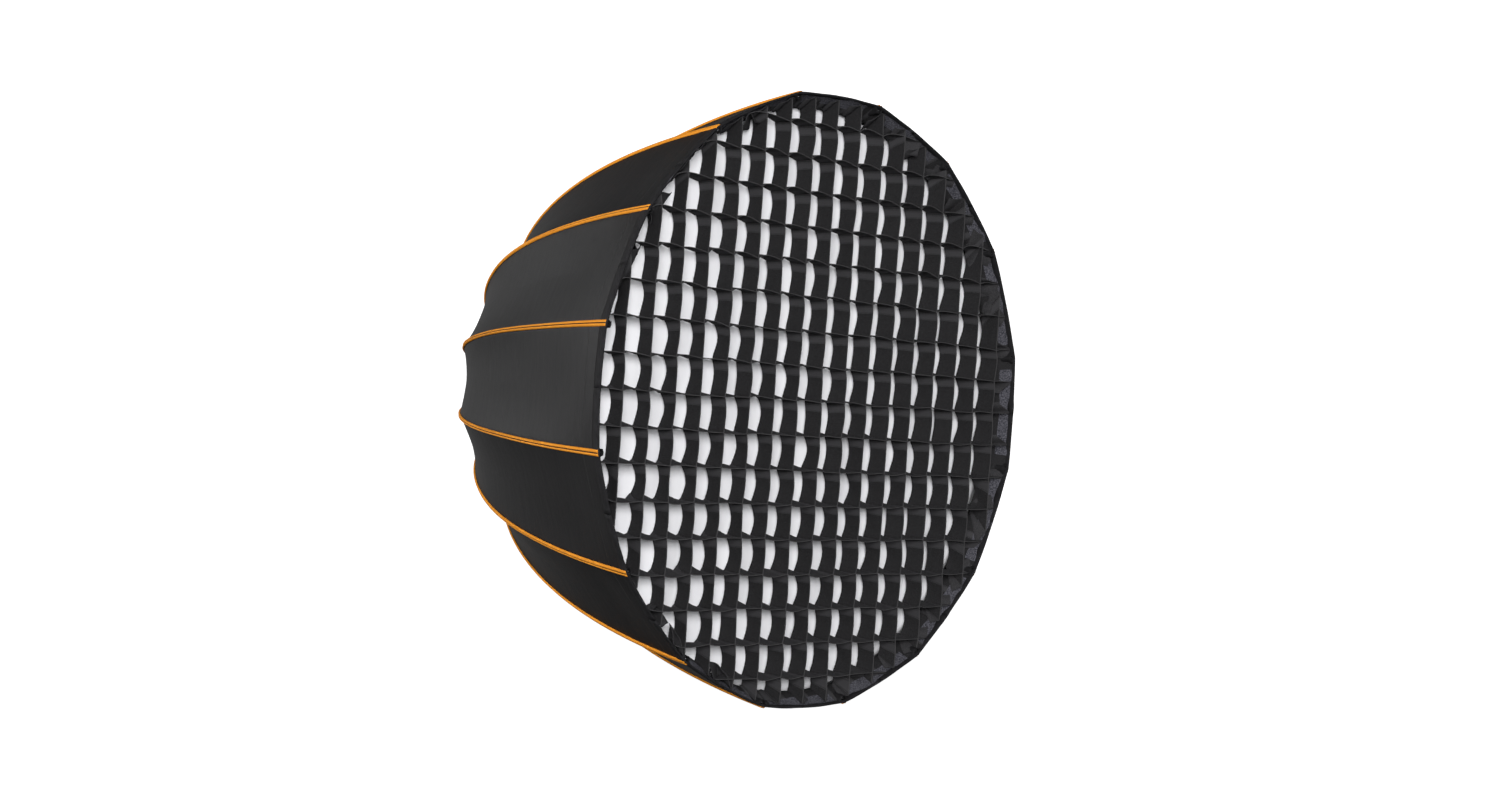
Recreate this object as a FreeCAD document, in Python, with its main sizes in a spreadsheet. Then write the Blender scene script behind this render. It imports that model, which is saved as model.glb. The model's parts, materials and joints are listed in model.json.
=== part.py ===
import FreeCAD, Part
import math
import os
import Sketcher
from FreeCAD import Placement, Rotation, Vector

# Deep sixteen-rib softbox with a quick-fold speedring, inner baffle, front diffuser and
# fabric egg-crate grid. Every sub-part is drawn in a hub frame: +Z runs forward along the
# optical axis from the lamp's seat face, +X runs out along rib 1. lay() turns that frame
# into the part's own frame, where +Z is up and the box opens towards -Y.

SIZES = {
    # overall
    "open_radius": 450.0,        # rib line to rib line, 900 mm across the corners
    "depth": 600.0,              # lamp seat to rim
    "rib_count": 16,
    "first_rib_angle": 101.25,   # leaves a flat panel at each side and at the top
    # meridian of the shell along a rib: the two inner poles of its Bezier curve
    "pivot_radius": 88.0,
    "pivot_height": 16.0,
    "shell_start_height": 12.0,
    "pole_1_radius": 195.0,
    "pole_1_height": -14.0,
    "pole_2_radius": 377.0,
    "pole_2_height": 126.0,
    # fabric
    "fabric_thick": 1.2,
    "shell_inner_radius": 122.0,
    "gore_pull_1": 5.0,          # how far the cloth between two ribs is drawn in, rear
    "gore_pull_2": 14.0,         # and further forward
    "gore_gap_angle": 0.08,
    # rib rods and their holders
    "rod_radius": 2.5,
    "rod_inset": 5.1,            # rod centre line inside the shell's outer face
    "rod_start_radius": 101.0,
    "rod_arc_pairs": 4,          # the rod is bent in this many pairs of arcs
    "tip_radius": 2.9,
    "tip_gap": 0.8,              # rod tip short of the rim's radius
    "holder_width": 10.0,
    "holder_eye_radius": 5.0,
    "holder_nose_radius": 79.0,
    "holder_nose_half": 3.0,
    "holder_end_radius": 119.0,
    "holder_end_half": 4.6,
    "holder_end_drop": 2.0,      # the lever slopes back to meet the rod
    "socket_radius": 3.1,
    "socket_floor_radius": 100.0,
    "socket_length": 24.0,
    "pin_radius": 1.5,
    "pin_hole_radius": 1.58,
    "pin_length": 21.0,
    "pin_hole_length": 22.0,
    # speedring
    "ring_bore_radius": 56.0,
    "ring_outer_radius": 102.0,
    "ring_rear": 4.0,
    "ring_thick": 20.0,
    "slot_half_width": 5.5,
    "slot_inner_radius": 76.0,
    "groove_inner_radius": 72.5,
    "groove_outer_radius": 82.5,
    "groove_depth": 9.5,
    # rear cover
    "cover_inner_radius": 74.6,
    "cover_outer_radius": 101.0,
    "cover_rear": 0.8,
    "cover_thick": 3.0,
    # bayonet insert
    "throat_radius": 49.0,
    "collar_radius": 63.5,
    "collar_length": 12.0,
    "claw_radius": 71.0,
    "claw_thick": 3.0,
    "claw_angle": 38.0,
    "claw_count": 3,
    "flange_radius": 74.0,
    "flange_thick": 3.8,
    "spigot_radius": 55.6,
    "spigot_length": 8.0,
    # screws
    "screw_radius": 1.45,
    "screw_hole_radius": 1.55,
    "screw_head_radius": 2.7,
    "screw_head_thick": 1.8,
    "head_seat_radius": 3.0,
    "head_seat_depth": 2.2,
    "screw_length": 11.0,
    "screw_recess": 0.3,
    "screw_socket_radius": 0.95,
    "screw_socket_depth": 0.9,
    "flange_screw_radius": 69.0,
    "flange_screw_count": 4,
    "cover_screw_radius": 93.0,
    "cover_screw_count": 8,
    # lock ring and release button
    "lock_inner_radius": 73.2,
    "lock_outer_radius": 81.0,
    "lock_rear": 9.0,
    "lock_thick": 3.2,
    "button_orbit_radius": 92.0,
    "button_cap_radius": 5.0,
    "button_cap_rear": -3.4,
    "button_flange_radius": 6.4,
    "button_flange_rear": 4.3,
    "button_flange_thick": 1.3,
    "button_stem_radius": 2.4,
    "button_stem_end": 20.0,
    "button_hole_radius": 5.3,
    "button_bore_radius": 2.6,
    "button_pocket_radius": 6.8,
    "button_pocket_depth": 11.0,
    "spring_radius": 4.2,
    "spring_wire_radius": 0.45,
    "spring_turns": 5,
    # cloths that close the front
    "baffle_radius": 230.0,
    "baffle_height": 400.0,
    "baffle_hem_radius": 2.0,
    "diffuser_radius": 428.0,
    "diffuser_height": 560.0,
    "grid_radius": 426.5,
    "grid_rear": 564.0,
    "grid_depth": 32.0,
    "grid_pitch": 50.0,
    "grid_strip_thick": 1.0,
    "skirt_thick": 1.2,
    "skirt_gap": 0.5,
    "skirt_rear": 563.0,
    "skirt_front": 598.0,
}

FULL_TURN = 360.0
TOLERANCE = 1e-6

doc = FreeCAD.newDocument("Softbox")
sheet = doc.addObject("Spreadsheet::Sheet", "sizes")
for row, (alias, size) in enumerate(SIZES.items(), start=1):
    sheet.set(f"A{row}", alias)
    sheet.set(f"B{row}", str(size))
    sheet.setAlias(f"B{row}", alias)
doc.recompute()

nodes = {}


def size(alias):
    return float(sheet.get(alias))


def cell(alias):
    return f"<<sizes>>.{alias}"


def lay(turn=0.0):
    """Placement that carries the hub frame into the part's frame, turned about the axis."""
    about_axis = Rotation(Vector(0, 0, 1), size("first_rib_angle") + turn)
    forward = Rotation(Vector(1, 0, 0), 90)
    return Placement(Vector(0, 0, 0), forward.multiply(about_axis))


def register(name, obj, turn=0.0):
    obj.Label = name
    obj.Placement = lay(turn)
    nodes[name] = obj
    return obj


def bind(obj, **expressions):
    for prop, expression in expressions.items():
        obj.setExpression(prop, expression)
    return obj


def new_body(name):
    return doc.addObject("PartDesign::Body", "Body_" + name)


def origin_plane(body, role):
    return next(item for item in body.Origin.OriginFeatures if item.Role == role)


def new_sketch(body, name, role="XY_Plane", height=None):
    """Sketch on one of the body's origin planes, lifted along its normal by a sheet value."""
    sketch = body.newObject("Sketcher::SketchObject", name)
    sketch.AttachmentSupport = [(origin_plane(body, role), "")]
    sketch.MapMode = "FlatFace"
    if height:
        sketch.setExpression("AttachmentOffset.Base.z", height)
    return sketch


def sketch_circle(sketch, radius, centre_x=None):
    """Circle whose radius, and distance along the sketch's X axis, follow the sheet."""
    here = size(centre_x) if centre_x else 0.0
    index = sketch.addGeometry(Part.Circle(Vector(here, 0, 0), Vector(0, 0, 1), size(radius)))
    limit = sketch.addConstraint(Sketcher.Constraint("Radius", index, size(radius)))
    sketch.setExpression(f"Constraints[{limit}]", cell(radius))
    if centre_x is None:
        sketch.addConstraint(Sketcher.Constraint("Coincident", index, 3, -1, 1))
        return
    sketch.addConstraint(Sketcher.Constraint("PointOnObject", index, 3, -1))
    reach = sketch.addConstraint(Sketcher.Constraint("DistanceX", -1, 1, index, 3, here))
    sketch.setExpression(f"Constraints[{reach}]", cell(centre_x))


def sketch_outline(sketch, corners):
    """Closed outline of straight lines. Each corner is (x, y) as sheet expressions."""
    points = [Vector(sheet_value(x), sheet_value(y), 0) for x, y in corners]
    count = len(points)
    for index, start in enumerate(points):
        sketch.addGeometry(Part.LineSegment(start, points[(index + 1) % count]))
    for index in range(count):
        sketch.addConstraint(Sketcher.Constraint("Coincident", index, 2, (index + 1) % count, 1))
    for index, (x, y) in enumerate(corners):
        for kind, text in (("DistanceX", x), ("DistanceY", y)):
            value = sheet_value(text)
            if abs(value) < TOLERANCE:
                other = -2 if kind == "DistanceX" else -1
                sketch.addConstraint(Sketcher.Constraint("PointOnObject", index, 1, other))
                continue
            number = sketch.addConstraint(Sketcher.Constraint(kind, -1, 1, index, 1, value))
            sketch.setExpression(f"Constraints[{number}]", linked(text))


def sheet_value(text):
    """Value of a short sum of sheet aliases, such as 'ring_rear + ring_thick'."""
    total = 0.0
    sign = 1.0
    for word in text.split():
        if word in "+-":
            sign = 1.0 if word == "+" else -1.0
            continue
        total += sign * (size(word) if word in SIZES else float(word))
        sign = 1.0
    return total


def linked(text):
    return " ".join(cell(word) if word in SIZES else word for word in text.split())


def pad(body, sketch, length):
    feature = body.newObject("PartDesign::Pad", "Pad_" + sketch.Name)
    feature.Profile = sketch
    feature.setExpression("Length", linked(length))
    return feature


def pocket(body, sketch, length=None, forward=True):
    """Cut along +Z when forward. Without a length it goes right through both ways."""
    feature = body.newObject("PartDesign::Pocket", "Pocket_" + sketch.Name)
    feature.Profile = sketch
    if length is None:
        feature.Type = "ThroughAll"
        feature.Midplane = True
    else:
        feature.Reversed = forward
        feature.setExpression("Length", linked(length))
    return feature


def around(body, name, originals, count):
    """Repeats features evenly about the body's Z axis."""
    pattern = body.newObject("PartDesign::PolarPattern", name)
    pattern.Originals = originals
    axis = next(item for item in body.Origin.OriginFeatures if item.Role == "Z_Axis")
    pattern.Axis = (axis, [""])
    pattern.Angle = FULL_TURN
    pattern.setExpression("Occurrences", count)
    body.Tip = pattern
    return pattern


def revolved(name, corners):
    """Body made by turning a closed outline, given as (radius, height), about the axis."""
    body = new_body(name)
    sketch = new_sketch(body, "Outline_" + name, "XZ_Plane")
    sketch_outline(sketch, corners)
    feature = body.newObject("PartDesign::Revolution", "Turn_" + name)
    feature.Profile = sketch
    feature.ReferenceAxis = (sketch, ["V_Axis"])
    feature.Angle = FULL_TURN
    return body


def half_pitch():
    return FULL_TURN / size("rib_count") / 2


# ---------------------------------------------------------------- meridian curves


def shell_poles():
    """Outer face of the cloth along a rib, as (radius, height) Bezier poles."""
    return [
        (size("pivot_radius"), size("shell_start_height")),
        (size("pole_1_radius"), size("pole_1_height")),
        (size("pole_2_radius"), size("pole_2_height")),
        (size("open_radius"), size("depth")),
    ]


def gore_poles():
    """Outer face of the cloth half way between two ribs: the chord, drawn inward."""
    pulls = [0.0, size("gore_pull_1"), size("gore_pull_2"), 0.0]
    to_chord = math.cos(math.radians(half_pitch()))
    return [(r * to_chord - pull, h) for (r, h), pull in zip(shell_poles(), pulls)]


def inset_poles(poles, distance):
    """Poles of the curve that runs at a distance inside another: each leg is moved over."""
    legs = [Vector(b[0] - a[0], b[1] - a[1], 0).normalize() for a, b in zip(poles, poles[1:])]
    normals = [Vector(-leg.y, leg.x, 0) for leg in legs]
    moved = []
    for index, (radius, height) in enumerate(poles):
        before = normals[max(index - 1, 0)]
        after = normals[min(index, len(normals) - 1)]
        shift = (before + after) * (distance / (1 + before.dot(after)))
        moved.append((radius + shift.x, height + shift.y))
    return moved


def meridian(poles, angle=0.0):
    """Bezier curve in the half plane that stands at an angle to rib 1."""
    turn = math.radians(angle)
    curve = Part.BezierCurve()
    curve.setPoles([Vector(r * math.cos(turn), r * math.sin(turn), h) for r, h in poles])
    return curve


def parameter_at_radius(poles, radius):
    """Parameter where a meridian passes a radius, found by halving."""
    low, high = 0.0, 1.0
    curve = meridian(poles)
    while high - low > TOLERANCE:
        middle = (low + high) / 2
        if curve.value(middle).x < radius:
            low = middle
        else:
            high = middle
    return low


# ---------------------------------------------------------------- repeated sub-parts


def make_holder(index, turn):
    """Pivoting lever on a hinge pin. Its nose rests on the lock ring, its socket takes a rod."""
    name = f"rib_holder_{index:02d}"
    body = new_body(name)
    sketch = new_sketch(body, "Lever_" + name, "XZ_Plane")
    sketch_outline(sketch, [
        ("holder_nose_radius", "pivot_height - holder_nose_half"),
        ("pivot_radius", "pivot_height - holder_eye_radius"),
        ("holder_end_radius", "pivot_height - holder_end_half - holder_end_drop"),
        ("holder_end_radius", "pivot_height + holder_end_half - holder_end_drop"),
        ("pivot_radius", "pivot_height + holder_eye_radius"),
        ("holder_nose_radius", "pivot_height + holder_nose_half"),
    ])
    lever = pad(body, sketch, "holder_width")
    lever.Midplane = True
    eye = body.newObject("PartDesign::SubtractiveCylinder", "Eye_" + name)
    bind(eye, Radius=cell("pin_hole_radius"), Height=linked("slot_half_width + slot_half_width"))
    eye.Placement = Placement(
        Vector(size("pivot_radius"), size("slot_half_width"), size("pivot_height")),
        Rotation(Vector(1, 0, 0), 90),
    )
    socket = body.newObject("PartDesign::SubtractiveCylinder", "Socket_" + name)
    bind(socket, Radius=cell("socket_radius"), Height=cell("socket_length"))
    rod_poles = inset_poles(shell_poles(), size("rod_inset"))
    rod = meridian(rod_poles)
    start = rod.value(parameter_at_radius(rod_poles, size("socket_floor_radius")))
    end = rod.value(parameter_at_radius(rod_poles, size("holder_end_radius")))
    socket.Placement = Placement(start, Rotation(Vector(0, 0, 1), end - start))
    register(name, body, turn)


def biarc(start, heading, end, end_heading):
    """Two arcs that join two points and keep both headings: (start, heading, end) each."""
    chord = end - start
    along = chord.dot(heading + end_heading)
    spread = 2 * (1 - heading.dot(end_heading))
    reach = (math.sqrt(along**2 + spread * chord.dot(chord)) - along) / spread
    near = start + heading * reach
    far = end - end_heading * reach
    middle = (near + far) * 0.5
    return [(start, heading, middle), (middle, (far - near).normalize(), end)]


def bent_bar(start, heading, end):
    """Round bar along the arc that leaves start on a heading and reaches end."""
    upright = Vector(0, 1, 0)
    side = upright.cross(heading)
    chord = end - start
    bend_radius = chord.dot(chord) / (2 * chord.dot(side))
    angle = 2 * math.degrees(math.atan2(chord.dot(side), chord.dot(heading)))
    disc = Part.Face(Part.Wire(Part.makeCircle(size("rod_radius"), start, heading)))
    return disc.revolve(start + side * bend_radius, -upright, -angle)


def make_rod(index, turn):
    """Spring rod bent in a chain of arcs, with a rounded tip, lying just inside the cloth."""
    poles = inset_poles(shell_poles(), size("rod_inset"))
    curve = meridian(poles)
    first = parameter_at_radius(poles, size("rod_start_radius"))
    last = parameter_at_radius(poles, poles[-1][0] - size("tip_gap"))
    pairs = int(size("rod_arc_pairs"))
    stops = [first + (last - first) * number / pairs for number in range(pairs + 1)]
    points = [(curve.value(stop), curve.tangent(stop)[0]) for stop in stops]
    bars = []
    for (start, heading), (end, end_heading) in zip(points, points[1:]):
        bars += [bent_bar(*arc) for arc in biarc(start, heading, end, end_heading)]
    tip = Part.makeSphere(size("tip_radius"), curve.value(last))
    rod = bars[0].fuse(bars[1:] + [tip]).removeSplitter()
    name = f"rib_{index:02d}"
    obj = doc.addObject("Part::Feature", "Rod_" + name)
    obj.Shape = rod.Solids[0]
    register(name, obj, turn)


def make_shell_panel(index, turn):
    """Cloth carried by one rib: from the middle of one gore to the middle of the next."""
    name = f"shell_panel_{index:02d}"
    edge_angle = half_pitch() - size("gore_gap_angle")
    start = parameter_at_radius(shell_poles(), size("shell_inner_radius"))
    rails = {}
    for side in (-1, 0, 1):
        outer = shell_poles() if side == 0 else gore_poles()
        inner = inset_poles(outer, size("fabric_thick"))
        inner[-1] = (inner[-1][0], size("depth"))
        for layer, poles in (("outer", outer), ("inner", inner)):
            curve = meridian(poles, side * edge_angle)
            curve.segment(start, 1.0)
            rails[side, layer] = curve.toShape()
    ring = [(-1, "outer"), (0, "outer"), (1, "outer"), (1, "inner"), (0, "inner"), (-1, "inner")]
    faces = []
    for here, there in zip(ring, ring[1:] + ring[:1]):
        faces.append(Part.makeRuledSurface(rails[here], rails[there]))
    for end in (0, 1):
        corner = {key: rail.Vertexes[end].Point for key, rail in rails.items()}
        for side in (-1, 1):
            chords = [
                Part.makeLine(corner[0, layer], corner[side, layer]) for layer in ("outer", "inner")
            ]
            faces.append(Part.makeRuledSurface(*chords))
    shell = Part.makeShell(faces)
    shell.sewShape()
    solid = Part.Solid(shell)
    if solid.Volume < 0:
        solid.reverse()
    obj = doc.addObject("Part::Feature", "Cloth_" + name)
    obj.Shape = solid
    register(name, obj, turn)


# ---------------------------------------------------------------- speedring


def make_speedring_body():
    """Slotted ring that carries the hinge pins, with a groove for the lock ring behind."""
    body = new_body("speedring_body")
    disc = new_sketch(body, "RingDisc", height=cell("ring_rear"))
    sketch_circle(disc, "ring_outer_radius")
    sketch_circle(disc, "ring_bore_radius")
    pad(body, disc, "ring_thick")
    groove = new_sketch(body, "RingGroove", height=cell("ring_rear"))
    sketch_circle(groove, "groove_outer_radius")
    sketch_circle(groove, "groove_inner_radius")
    pocket(body, groove, "groove_depth")
    slot = new_sketch(body, "RingSlot")
    sketch_outline(slot, [
        ("slot_inner_radius", "0 - slot_half_width"),
        ("ring_outer_radius + holder_width", "0 - slot_half_width"),
        ("ring_outer_radius + holder_width", "slot_half_width"),
        ("slot_inner_radius", "slot_half_width"),
    ])
    slot_cut = pocket(body, slot)
    pin_hole = body.newObject("PartDesign::SubtractiveCylinder", "PinHole")
    bind(pin_hole, Radius=cell("pin_hole_radius"), Height=cell("pin_hole_length"))
    pin_hole.Placement = Placement(
        Vector(size("pivot_radius"), size("pin_hole_length") / 2, size("pivot_height")),
        Rotation(Vector(1, 0, 0), 90),
    )
    around(body, "RibSlots", [slot_cut, pin_hole], cell("rib_count"))
    tapped = new_sketch(body, "FlangeScrewHoles", height=cell("ring_rear"))
    sketch_circle(tapped, "screw_hole_radius", "flange_screw_radius")
    tapped_cut = pocket(body, tapped, "screw_length")
    around(body, "FlangeScrewPattern", [tapped_cut], cell("flange_screw_count"))
    hole = new_sketch(body, "CoverScrewHoles", height=cell("ring_rear"))
    turn_sketch(hole, half_pitch())
    sketch_circle(hole, "screw_hole_radius", "cover_screw_radius")
    hole_cut = pocket(body, hole, "screw_length")
    around(body, "CoverScrewPattern", [hole_cut], cell("cover_screw_count"))
    seat = new_sketch(body, "ButtonPocket", height=cell("ring_rear"))
    turn_sketch(seat, button_angle())
    sketch_circle(seat, "button_pocket_radius", "button_orbit_radius")
    pocket(body, seat, "button_pocket_depth")
    bore = new_sketch(body, "ButtonBore")
    turn_sketch(bore, button_angle())
    sketch_circle(bore, "button_bore_radius", "button_orbit_radius")
    pocket(body, bore)
    register("speedring_body", body)


def turn_sketch(sketch, angle):
    """Turns a flat sketch about the hub's axis, keeping its height."""
    sketch.AttachmentOffset = Placement(
        sketch.AttachmentOffset.Base, Rotation(Vector(0, 0, 1), angle)
    )


def button_angle():
    """Hub-frame angle of the post at the top, between rib 1 and the last rib."""
    return 90.0 - size("first_rib_angle")


def make_speedring_cover():
    body = revolved("speedring_cover", [
        ("cover_inner_radius", "cover_rear"),
        ("cover_outer_radius", "cover_rear"),
        ("cover_outer_radius", "cover_rear + cover_thick"),
        ("cover_inner_radius", "cover_rear + cover_thick"),
    ])
    through = new_sketch(body, "CoverHoles")
    turn_sketch(through, half_pitch())
    sketch_circle(through, "screw_hole_radius", "cover_screw_radius")
    through_cut = pocket(body, through)
    seat = new_sketch(body, "CoverSeats", height=cell("cover_rear"))
    turn_sketch(seat, half_pitch())
    sketch_circle(seat, "head_seat_radius", "cover_screw_radius")
    seat_cut = pocket(body, seat, "head_seat_depth")
    around(body, "CoverPattern", [through_cut, seat_cut], cell("cover_screw_count"))
    hole = new_sketch(body, "ButtonHole")
    turn_sketch(hole, button_angle())
    sketch_circle(hole, "button_hole_radius", "button_orbit_radius")
    pocket(body, hole)
    register("speedring_cover", body)


def make_bayonet_ring():
    """Lamp insert: seat flange, locating spigot in front, collar and three claws behind."""
    body = revolved("bayonet_ring", [
        ("throat_radius", "0 - collar_length"),
        ("collar_radius", "0 - collar_length"),
        ("collar_radius", "0"),
        ("flange_radius", "0"),
        ("flange_radius", "flange_thick"),
        ("spigot_radius", "flange_thick"),
        ("spigot_radius", "spigot_length"),
        ("throat_radius", "spigot_length"),
    ])
    claw = body.newObject("PartDesign::AdditiveCylinder", "Claw")
    bind(claw, Radius=cell("claw_radius"), Height=cell("claw_thick"), Angle=cell("claw_angle"))
    claw.Placement = Placement(Vector(0, 0, -size("collar_length")), Rotation())
    around(body, "Claws", [claw], cell("claw_count"))
    throat = new_sketch(body, "Throat")
    sketch_circle(throat, "throat_radius")
    pocket(body, throat)
    through = new_sketch(body, "FlangeHoles")
    sketch_circle(through, "screw_hole_radius", "flange_screw_radius")
    through_cut = pocket(body, through, "flange_thick")
    seat = new_sketch(body, "FlangeSeats")
    sketch_circle(seat, "head_seat_radius", "flange_screw_radius")
    seat_cut = pocket(body, seat, "head_seat_depth")
    around(body, "FlangePattern", [through_cut, seat_cut], cell("flange_screw_count"))
    register("bayonet_ring", body)


def screw(orbit, angle, head_rear):
    """Cap screw that points forward, on a circle about the axis."""
    turn = math.radians(angle)
    base = Vector(orbit * math.cos(turn), orbit * math.sin(turn), head_rear)
    head = Part.makeCylinder(size("screw_head_radius"), size("screw_head_thick"), base)
    shank = Part.makeCylinder(size("screw_radius"), size("screw_length"), base)
    socket = Part.makeCylinder(size("screw_socket_radius"), size("screw_socket_depth"), base)
    return head.fuse(shank).cut(socket).removeSplitter()


def make_hub_screws():
    screws = []
    flange_count = int(size("flange_screw_count"))
    for number in range(flange_count):
        angle = number * FULL_TURN / flange_count
        screws.append(screw(size("flange_screw_radius"), angle, size("screw_recess")))
    cover_count = int(size("cover_screw_count"))
    cover_seat = size("cover_rear") + size("screw_recess")
    for number in range(cover_count):
        angle = half_pitch() + number * FULL_TURN / cover_count
        screws.append(screw(size("cover_screw_radius"), angle, cover_seat))
    obj = doc.addObject("Part::Feature", "Screws")
    obj.Shape = Part.makeCompound(screws)
    register("hub_screws", obj)


def make_hinge_pins():
    pins = []
    for number in range(int(size("rib_count"))):
        pin = Part.makeCylinder(
            size("pin_radius"), size("pin_length"),
            Vector(size("pivot_radius"), -size("pin_length") / 2, size("pivot_height")),
            Vector(0, 1, 0),
        )
        pin.rotate(Vector(0, 0, 0), Vector(0, 0, 1), number * 2 * half_pitch())
        pins.append(pin)
    obj = doc.addObject("Part::Feature", "Pins")
    obj.Shape = Part.makeCompound(pins)
    register("hinge_pins", obj)


def make_lock_ring():
    """Ring that sits behind the holders' noses and keeps the ribs open."""
    body = revolved("lock_ring", [
        ("lock_inner_radius", "lock_rear"),
        ("lock_outer_radius", "lock_rear"),
        ("lock_outer_radius", "lock_rear + lock_thick"),
        ("lock_inner_radius", "lock_rear + lock_thick"),
    ])
    register("lock_ring", body)


def make_release_button():
    body = new_body("release_button")
    cap = new_sketch(body, "ButtonCap", height=cell("button_cap_rear"))
    sketch_circle(cap, "button_cap_radius", "button_orbit_radius")
    pad(body, cap, "button_flange_rear - button_cap_rear")
    flange = new_sketch(body, "ButtonFlange", height=cell("button_flange_rear"))
    sketch_circle(flange, "button_flange_radius", "button_orbit_radius")
    pad(body, flange, "button_flange_thick")
    stem = new_sketch(body, "ButtonStem", height=cell("button_flange_rear"))
    sketch_circle(stem, "button_stem_radius", "button_orbit_radius")
    pad(body, stem, "button_stem_end - button_flange_rear")
    register("release_button", body, button_angle())


def make_button_spring():
    """Coil of tilted half rings between the button's flange and the bottom of its pocket."""
    wire = size("spring_wire_radius")
    coil_radius = size("spring_radius")
    low = size("button_flange_rear") + size("button_flange_thick") + 2 * wire
    high = size("ring_rear") + size("button_pocket_depth") - 2 * wire
    rise = (high - low) / (2 * size("spring_turns"))
    tilt = math.degrees(math.asin(rise / (2 * coil_radius)))
    halves = []
    for number in range(2 * int(size("spring_turns"))):
        backward = number % 2
        half = Part.makeTorus(coil_radius, wire, Vector(0, 0, 0), Vector(0, 0, 1), 0, 360, 180)
        half.rotate(Vector(0, 0, 0), Vector(0, 0, 1), backward * 180)
        half.rotate(Vector(0, 0, 0), Vector(0, 1, 0), -tilt if backward else tilt)
        half.translate(Vector(size("button_orbit_radius"), 0, low + rise * (number + 0.5)))
        halves.append(half)
    obj = doc.addObject("Part::Feature", "Spring")
    obj.Shape = halves[0].fuse(halves[1:])
    register("button_spring", obj, button_angle())


# ---------------------------------------------------------------- cloths


def make_inner_baffle():
    """Flat round inner diffuser with a rolled hem."""
    height = size("baffle_height")
    middle = height + size("fabric_thick") / 2
    sheet_disc = Part.makeCylinder(size("baffle_radius"), size("fabric_thick"), Vector(0, 0, height))
    hem = Part.makeTorus(size("baffle_radius"), size("baffle_hem_radius"), Vector(0, 0, middle))
    obj = doc.addObject("Part::Feature", "Baffle")
    obj.Shape = sheet_disc.fuse(hem)
    register("inner_baffle", obj)


def make_front_diffuser():
    disc = doc.addObject("Part::Cylinder", "Diffuser")
    bind(disc, Radius=cell("diffuser_radius"), Height=cell("fabric_thick"))
    raised = Placement(Vector(0, 0, size("diffuser_height")), Rotation())
    register("front_diffuser", disc)
    disc.Placement = disc.Placement.multiply(raised)


def make_grid():
    """Egg-crate of crossed upright strips, level with the part's X and Z axes."""
    radius = size("grid_radius")
    pitch = size("grid_pitch")
    thick = size("grid_strip_thick")
    reach = int(radius // pitch)
    strips = []
    for number in range(-reach, reach + 1):
        offset = number * pitch
        half = math.sqrt(radius**2 - offset**2)
        corner = Vector(offset - thick / 2, -half, size("grid_rear"))
        upright = Part.makeBox(thick, 2 * half, size("grid_depth"), corner)
        strips.append(upright)
        level = upright.copy()
        level.rotate(Vector(0, 0, 0), Vector(0, 0, 1), 90)
        strips.append(level)
    obj = doc.addObject("Part::Feature", "Grid")
    obj.Shape = strips[0].fuse(strips[1:]).removeSplitter()
    register("grid", obj, -size("first_rib_angle"))


def make_grid_skirt():
    """Band of cloth around the grid that hooks to the inside of the rim."""
    outer = doc.addObject("Part::Cylinder", "SkirtOuter")
    bind(outer, Radius=linked("grid_radius + skirt_gap + skirt_thick"))
    inner = doc.addObject("Part::Cylinder", "SkirtInner")
    bind(inner, Radius=linked("grid_radius + skirt_gap"))
    for cylinder in (outer, inner):
        bind(cylinder, Height=linked("skirt_front - skirt_rear"))
        cylinder.Placement = Placement(Vector(0, 0, size("skirt_rear")), Rotation())
    band = doc.addObject("Part::Cut", "Skirt")
    band.Base = outer
    band.Tool = inner
    register("grid_skirt", band)


# ---------------------------------------------------------------- assembly and export


def check_document():
    for obj in doc.Objects:
        bad = [state for state in obj.State if state in ("Invalid", "Error")]
        if bad:
            raise RuntimeError(f"{obj.Name} ({obj.Label}) is {bad}")
    for name, obj in nodes.items():
        if obj.Shape.isNull() or not obj.Shape.isValid():
            raise RuntimeError(f"{name} has no valid shape")
        if obj.Shape.Volume <= 0:
            raise RuntimeError(f"{name} has no volume")


def main():
    for number in range(int(size("rib_count"))):
        turn = number * 2 * half_pitch()
        make_holder(number + 1, turn)
        make_rod(number + 1, turn)
        make_shell_panel(number + 1, turn)
    make_speedring_body()
    make_speedring_cover()
    make_bayonet_ring()
    make_hub_screws()
    make_hinge_pins()
    make_lock_ring()
    make_release_button()
    make_button_spring()
    make_inner_baffle()
    make_front_diffuser()
    make_grid()
    make_grid_skirt()
    doc.recompute()
    check_document()
    os.makedirs("parts", exist_ok=True)
    for name, obj in nodes.items():
        obj.Shape.exportStep(os.path.join("parts", name + ".step"))
        print(f"{name}: {obj.Shape.Volume / 1000:.2f} cm3, solids {len(obj.Shape.Solids)}")


main()
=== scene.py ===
"""Looks of the deep sixteen-rib softbox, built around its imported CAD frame.

Every fabric piece is laid out in hub coordinates: a radius and an angle about the optical
axis, and a distance forward of the lamp's seat. row_point() turns them into the row frame,
where +Z is up and the box opens towards -Y.
"""
import json
import math

import bpy
import numpy as np
from mathutils import Matrix, Vector


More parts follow.
